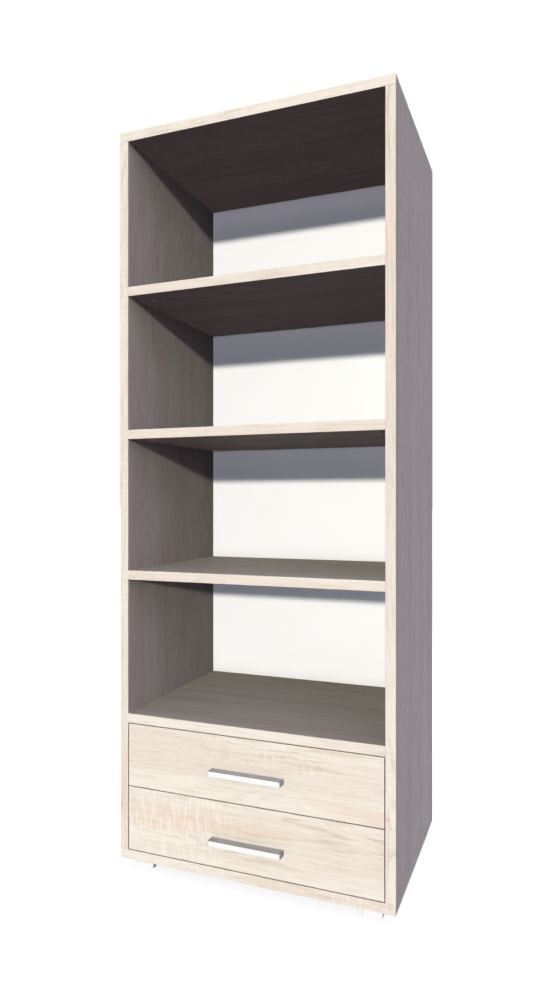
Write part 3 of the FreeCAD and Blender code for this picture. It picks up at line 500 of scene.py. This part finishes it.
for count, board in enumerate(FLAT_BOARDS):
    shift = (2.3 + 1.7 * count, 0.9 * count, 0.31 * count)
    dress(board, oak_finish(board + "_oak", "width", shift, raw_rear=board.endswith("panel")))
side_marks = {"arches": 0.75, "streaks": 0.2, "saw_marks": 0.3}
for board, shift in SIDE_STRETCHES.items():
    dress(board, oak_finish(board + "_oak", "height", shift, raw_rear=True, **side_marks))
for drawer, shift in FRONT_STRETCHES.items():
    front_marks = {"arches": 0.8, "streaks": 0.7, "saw_marks": FRONT_SAW_MARKS[drawer]}
    dress(drawer + "_drawer_front", oak_finish(drawer + "_front_oak", "front", shift, **front_marks))
cover_marks = {"arches": 0.2, "streaks": 0.2, "saw_marks": 0.0}
dress("cam_covers", oak_finish("cover_oak", "width", COVER_STRETCH, **cover_marks))
print("oak boards:", len(FLAT_BOARDS) + len(SIDE_STRETCHES) + len(FRONT_STRETCHES))

# %% [markdown]
# ## Coated skin
# The white boards, the feet, the runners and the handles' end caps all have a coated or moulded skin with
# a faint orange peel. A flat white would look like paper, so a shared group adds a slight unevenness to the
# colour and the gloss, and a fine relief. Each finish gives it the number of grains per metre.

# %% Coated skin group
UNEVEN_PER_METRE = (5, 5, 5)
COATED_GLOSS = (0.36, 0.5)

skin_inputs = {"Place": "Vector", "Grain": "Float", "Clean": "Color", "Worn": "Color"}
skin_outputs = {"Color": "Color", "Height": "Float", "Roughness": "Float"}
coated_skin, given = new_group("Coated skin", skin_inputs, skin_outputs)
uneven = cloud(coated_skin, given["Place"], UNEVEN_PER_METRE, detail=3)
peel = {"Vector": given["Place"], "Scale": given["Grain"], "Detail": 2.0}
skin = add(coated_skin, "TexNoise", peel).outputs[0]
tone = ramp(coated_skin, product(coated_skin, combine(coated_skin, skin, uneven), 0.5), 0.3, 0.7)
colour = mix(coated_skin, tone, given["Clean"], given["Worn"])
gloss = ramp(coated_skin, uneven, 0.3, 0.7, *COATED_GLOSS)
end_group(coated_skin, Color=colour, Height=skin, Roughness=gloss)


def coated_finish(name, grain, clean, worn, depth, strength=0.3):
    """A coated or moulded surface with a fine skin."""
    material, tree, shader = new_finish(name)
    inputs = {"Place": place_of(tree), "Grain": grain, "Clean": clean, "Worn": worn}
    skin = grouped(tree, coated_skin, inputs)
    surface(tree, shader, skin["Color"], skin["Roughness"])
    emboss(tree, shader, skin["Height"], depth, strength)
    return material


# %% [markdown]
# ## White boards and white back
# The drawer boxes are white coated boards. The back and the drawer bottoms are thin fibreboard, lacquered
# white on the face that shows and bare on the other. Two materials on one sheet would need its faces
# sorted. One material that asks on which side of the sheet's middle it is does the same.

# %% White boards and fibreboards
FIBRE_LIGHT = paint(168, 128, 88)
FIBRE_DARK = paint(128, 92, 58)
FIBRES_PER_METRE = 900
SKIN_RELIEF = 0.0001


def fibreboard_finish(name, axis, middle, bare_above):
    """Fibreboard: white lacquer on one side of its middle plane, bare fibre on the other."""
    material = coated_finish(name, 500, paint(252, 252, 247), paint(248, 248, 242), SKIN_RELIEF)
    tree = material.node_tree
    base = tree.nodes["Principled BSDF"].inputs["Base Color"]
    own = place_of(tree)
    inputs = {"Place": own, "Chips": FIBRES_PER_METRE, "Light": FIBRE_LIGHT, "Dark": FIBRE_DARK}
    fibre = grouped(tree, raw_core, inputs)
    along = add(tree, "SeparateXYZ", {0: own}).outputs[axis]
    bare = combine(tree, along, middle, "GREATER_THAN" if bare_above else "LESS_THAN")
    white_face = base.links[0].from_socket
    tree.links.new(mix(tree, bare, white_face, fibre["Color"]), base)
    return material


low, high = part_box("back_panel")
dress("back_panel", fibreboard_finish("back_hardboard", "Y", (low.y + high.y) / 2, True))
white_board = coated_finish("white_board", 700, paint(243, 243, 240), paint(237, 237, 233), SKIN_RELIEF)
for drawer in ("upper", "lower"):
    low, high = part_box(drawer + "_box_bottom")
    bottom = fibreboard_finish(drawer + "_bottom_hardboard", "Z", (low.z + high.z) / 2, False)
    dress(drawer + "_box_bottom", bottom)
    for board in ("left", "right", "front", "back"):
        dress(f"{drawer}_box_{board}", white_board)
print("white boards: 8, fibreboards: 3")

# %% [markdown]
# ## Plastic, steel and aluminium
# The feet are moulded plastic with a fine spark-eroded skin, the runners are steel with white powder
# paint, and the handles are drawn aluminium bars with a satin skin. Drawing leaves faint lines along the
# bar, so its colour, roughness and relief come from a cloud that is stretched along the handle.

# %% Feet, runners and handles
PAINT_RELIEF = 0.00015
DRAWN_PER_METRE = (4, 1800, 1800)
DRAWN_RELIEF = 0.00005
BAR_METALLIC = 0.2


def two_toned(tree, shader, pattern, light, dark, smooth, rough):
    """Light and smooth where the pattern is low, dark and rough where it is high."""
    surface(tree, shader, mix(tree, pattern, light, dark), ramp(tree, pattern, 0.3, 0.7, smooth, rough))


foot_plastic = coated_finish("foot_plastic", 1400, paint(246, 246, 243), paint(240, 240, 236), SKIN_RELIEF)
powder_paint = coated_finish(
    "powder_paint", 1100, paint(236, 236, 232), paint(228, 228, 224), PAINT_RELIEF, strength=0.4)
cap_plastic = coated_finish("cap_plastic", 1600, paint(206, 207, 210), paint(196, 197, 201), SKIN_RELIEF)
drawn_bar, tree, shader = new_finish("drawn_aluminium", Metallic=BAR_METALLIC)
lines = cloud(tree, place_of(tree), DRAWN_PER_METRE, detail=3)
two_toned(tree, shader, lines, paint(234, 237, 231), paint(221, 224, 219), smooth=0.3, rough=0.42)
emboss(tree, shader, lines, DRAWN_RELIEF, strength=0.2)

FITTINGS = {
    "_foot": foot_plastic,
    "_rail": powder_paint,
    "_runner": powder_paint,
    "_handle_caps": cap_plastic,
    "_handle": drawn_bar,
}
for ending, finish in FITTINGS.items():
    fitted = [node for node in nodes if node.endswith(ending)]
    for node in fitted:
        dress(node, finish)
    print(finish.name, "on", len(fitted), "pieces that end in", ending)

# %% [markdown]
# ## Rollers and dowels
# The nylon rollers are turned or moulded, and show fine rings round their axle. The rings are a wave of
# the distance from the roller's own axis, so each pair of rollers has its own centre. The dowels are bare
# beech, with fibres along them.

# %% Nylon rollers and beech dowels
RING_WAVE = 9000  # radians per metre: a ring about every 0.7 mm
RING_RELIEF = 0.00004
SPECKS_PER_METRE = (300, 300, 300)
NYLON_MILKINESS = 0.1
BEECH_PER_METRE = (40, 600, 600)


def roller_finish(node):
    """Natural nylon with turned rings: the sine of the distance from the roller's axis."""
    material, tree, shader = new_finish(node + "_nylon", Subsurface_Weight=NYLON_MILKINESS)
    low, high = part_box(node)
    middle = (low + high) / 2
    own = place_of(tree, (0, -middle.y, -middle.z))
    parts = add(tree, "SeparateXYZ", {0: own}).outputs
    flat = add(tree, "CombineXYZ", {"Y": parts["Y"], "Z": parts["Z"]}).outputs[0]
    reach = add(tree, "VectorMath", {0: flat}, operation="LENGTH").outputs["Value"]
    rings = add(tree, "Math", {0: product(tree, reach, RING_WAVE)}, operation="SINE").outputs[0]
    speck = cloud(tree, own, SPECKS_PER_METRE)
    two_toned(tree, shader, speck, paint(236, 233, 222), paint(222, 217, 203), smooth=0.32, rough=0.46)
    emboss(tree, shader, rings, RING_RELIEF, strength=0.3)
    return material


rollers = [node for node in nodes if node.endswith("_rollers")]
for node in rollers:
    dress(node, roller_finish(node))

beech, tree, shader = new_finish("beech")
fibre = cloud(tree, place_of(tree), BEECH_PER_METRE)
two_toned(tree, shader, fibre, paint(222, 190, 148), paint(190, 152, 110), smooth=0.55, rough=0.7)
dress("carcass_dowels", beech)
print("roller pairs:", len(rollers))

# %% [markdown]
# ## Screws and nails
# The model's fasteners are plain pins with flat heads, which is all that their fit needs. A close look at an
# open drawer shows more: domed heads with a cross recess, flush heads in the box sides, hexagon sockets in
# the top and bottom panels, and small round nail heads along the back. One could cut each recess out of a
# solid head. Here a fastener is one skin instead: rings of points that run from the tip along the shank,
# over the head and down into the recess. A ring need not be round, so the recess is a ring whose distance
# from the axis follows a cross or a hexagon.

# %% Rings and outlines
RING_POINTS = 48
TURN = np.linspace(0, 2 * np.pi, RING_POINTS, endpoint=False)
BAR_SHARE = 0.27
TINY = 1e-9


def cross_reach(arm):
    """Edge of a cross in each direction: two crossed bars, and of their two edges the farther one."""
    along = np.maximum(np.abs(np.cos(TURN)), TINY)
    across = np.maximum(np.abs(np.sin(TURN)), TINY)
    level_bar = np.minimum(arm / along, BAR_SHARE * arm / across)
    upright_bar = np.minimum(arm / across, BAR_SHARE * arm / along)
    return np.maximum(level_bar, upright_bar)


def hexagon_reach(arm):
    """Edge of a hexagon in each direction: the arm over the cosine of the angle to the nearest flat."""
    return arm / np.cos(TURN % (np.pi / 3) - np.pi / 6)


def ring_skin(rings):
    """Closed skin through rings (reach, height): a point is (reach cos t, reach sin t, height).

    Neighbouring rings are joined by four-sided faces, and the first and last ring each by a fan of triangles
    to a point on the axis.
    """
    reach = np.array([np.broadcast_to(ring[0], TURN.shape) for ring in rings])
    height = np.array([np.full(TURN.shape, ring[1]) for ring in rings])
    grid = np.stack([reach * np.cos(TURN), reach * np.sin(TURN), height], axis=-1).reshape(-1, 3)
    ends = [[0, 0, height[0, 0]], [0, 0, height[-1, 0]]]
    here = np.arange(reach.size).reshape(reach.shape)
    after = np.roll(here, -1, axis=1)
    sides = np.stack([here[:-1], after[:-1], after[1:], here[1:]], axis=-1).reshape(-1, 4)
    tip_fan = np.stack([np.full(TURN.size, len(grid)), after[0], here[0]], axis=-1)
    head_fan = np.stack([np.full(TURN.size, len(grid) + 1), here[-1], after[-1]], axis=-1)
    return np.vstack([grid, ends]), sides, np.vstack([tip_fan, head_fan])


print("points round each ring:", TURN.size)

# %% [markdown]
# ## The shapes of the heads
# A head is a short list of rings, each with its reach as a share of the head's radius and its rise as a
# share of the head's height. So one list fits every size of screw, and the sizes are read from the pin that
# the fastener replaces.

# %% Heads
TIP_SHARE = 0.25
TIP_LENGTH = 1.6
FLAT_RIM = [(1, 0), (1, 0.94), (0.95, 1)]
HEADS = {
    "domed": {
        "rings": [(0.96, 0), (1, 0.2), (0.97, 0.5), (0.84, 0.82), (0.66, 0.96), (0.6, 1)],
        "outline": cross_reach,
        "recess": [(0.52, 0.99), (0.36, 0.35)],
    },
    "flush": {"rings": FLAT_RIM, "outline": cross_reach, "recess": [(0.58, 1), (0.4, 0.45)]},
    "socket": {"rings": FLAT_RIM, "outline": hexagon_reach, "recess": [(0.44, 1), (0.42, 0.3)]},
    "nail": {"rings": [(1, 0), (1, 0.35), (0.85, 0.8), (0.5, 1)], "outline": None, "recess": []},
}


def fastener_skin(shape, shank, length, head, height):
    """A pointed shank below the seat at height nought, then the head's rings, then those of its recess."""
    rings = [(TIP_SHARE * shank, -length), (shank, -length + TIP_LENGTH * shank), (shank, 0)]
    rings += [(reach * head, rise * height) for reach, rise in shape["rings"]]
    rings += [(shape["outline"](reach * head), rise * height) for reach, rise in shape["recess"]]
    return ring_skin(rings)


print("heads:", ", ".join(HEADS))

# %% [markdown]
# ## Where the fasteners sit
# A node holds many pins at once. They could be told apart by following their faces, but along each direction
# the pins' points leave gaps, so sorting a coordinate and counting the gaps numbers the pins without any
# search. The wider end of a pin is its head.

# %% Pins of a node
ACROSS_GAP = 0.006
ALONG_GAP = 0.06
ROUND_OFF = 0.0001
X, Y, Z = range(3)


def groups_along(numbers, gap):
    """Numbers the groups of a coordinate: a new group starts where the sorted numbers leave a gap."""
    order = np.argsort(numbers)
    found = np.empty(len(numbers), int)
    found[order] = np.cumsum(np.diff(numbers[order], prepend=numbers[order[0]]) > gap)
    return found


def pins_of(node, axis):
    """Seats, directions and the shared sizes (shank, length, head, height) of the pins in a node."""
    mesh = nodes[node].data
    points = np.empty(3 * len(mesh.vertices))
    mesh.vertices.foreach_get("co", points)
    points = points.reshape(-1, 3)
    gaps = [ALONG_GAP if k == axis else ACROSS_GAP for k in (X, Y, Z)]
    labels = np.stack([groups_along(points[:, k], gaps[k]) for k in (X, Y, Z)], axis=1)
    seats, signs = [], []
    for label in np.unique(labels, axis=0):
        pin = points[(labels == label).all(axis=1)]
        low, high = pin.min(axis=0), pin.max(axis=0)
        reach = np.delete(pin - (low + high) / 2, axis, axis=1)
        reach = np.hypot(reach[:, 0], reach[:, 1])
        along = pin[:, axis]
        low_reach = reach[along < low[axis] + ROUND_OFF].max()
        high_reach = reach[along > high[axis] - ROUND_OFF].max()
        shank, head = sorted((low_reach, high_reach))
        head_along = along[reach > (shank + head) / 2]
        sign = 1 if high_reach > low_reach else -1
        seat = (low + high) / 2
        seat[axis] = head_along.min() if sign > 0 else head_along.max()
        seats.append(seat)
        signs.append(sign)
        height = np.ptp(head_along)
        sizes = (shank, high[axis] - low[axis] - height, head, height)
    return np.array(seats), np.array(signs), sizes


print("foot screws found:", len(pins_of("foot_screws", Z)[0]))

# %% [markdown]
# ## Zinc and the fasteners themselves
# Screws, nails, bolts and pins are zinc plated: a grey metal with faint spangles, which a plain grey would
# miss. The shaped fasteners of one node are one mesh that takes the node's place and moves with its body.
# Every screw gets its own turn, because nobody stops all the crosses at one angle.

# %% Fasteners in place
GOLDEN_TURN = 2.4
SHARP_EDGE = math.radians(40)
SPANGLES_PER_METRE = (700, 700, 700)

zinc, tree, shader = new_finish("zinc_plate", Metallic=1.0)
spangle = cloud(tree, place_of(tree), SPANGLES_PER_METRE, detail=3)
two_toned(tree, shader, spangle, paint(214, 215, 218), paint(176, 178, 184), smooth=0.26, rough=0.42)
for node in nodes:
    if node.endswith(("screws", "pins", "nails", "bolts", "discs")):
        dress(node, zinc)


def fasten(node, axis, shape, body):
    """One mesh with a fastener of the given shape at every pin of a node, which it replaces."""
    seats, signs, sizes = pins_of(node, axis)
    skin, sides, fans = fastener_skin(shape, *sizes)
    count = len(seats)
    turn = GOLDEN_TURN * np.arange(count)[:, None]
    first = skin[:, 0] * np.cos(turn) - skin[:, 1] * np.sin(turn)
    second = skin[:, 0] * np.sin(turn) + skin[:, 1] * np.cos(turn)
    placed = np.empty((count, len(skin), 3))
    placed[:, :, axis] = signs[:, None] * skin[:, 2]
    placed[:, :, (axis + 1) % 3] = first
    placed[:, :, (axis + 2) % 3] = signs[:, None] * second
    placed += seats[:, None]
    shift = len(skin) * np.arange(count)[:, None, None]
    faces = (sides + shift).reshape(-1, 4).tolist() + (fans + shift).reshape(-1, 3).tolist()
    mesh = bpy.data.meshes.new(node + "_shaped")
    mesh.from_pydata(placed.reshape(-1, 3).tolist(), [], faces)
    mesh.polygons.foreach_set("use_smooth", np.ones(len(mesh.polygons), bool))
    mesh.set_sharp_from_angle(angle=SHARP_EDGE)
    mesh.materials.append(zinc)
    piece = bpy.data.objects.new(node + "_shaped", mesh)
    scene.collection.objects.link(piece)
    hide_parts(node)
    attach(piece, body)
    return count


FASTENERS = [
    ("foot_screws", Z, "domed", "carcass"),
    ("rail_screws", X, "domed", "carcass"),
    ("connecting_screws", Z, "socket", "carcass"),
    ("back_panel_nails", Y, "nail", "carcass"),
]
for drawer in ("upper", "lower"):
    FASTENERS += [
        (drawer + "_runner_screws", X, "domed", drawer + "_drawer"),
        (drawer + "_box_screws", X, "flush", drawer + "_drawer"),
        (drawer + "_front_screws", Y, "domed", drawer + "_drawer"),
        (drawer + "_handle_screws", Y, "domed", drawer + "_drawer"),
    ]
for node, axis, head, body in FASTENERS:
    print(node, fasten(node, axis, HEADS[head], body))

# %% [markdown]
# ## Undressed pieces
# The last cell lists every piece of the model that has no finish.

# %% Undressed pieces
print("undressed:", [name for name in nodes if not nodes[name].data.materials])
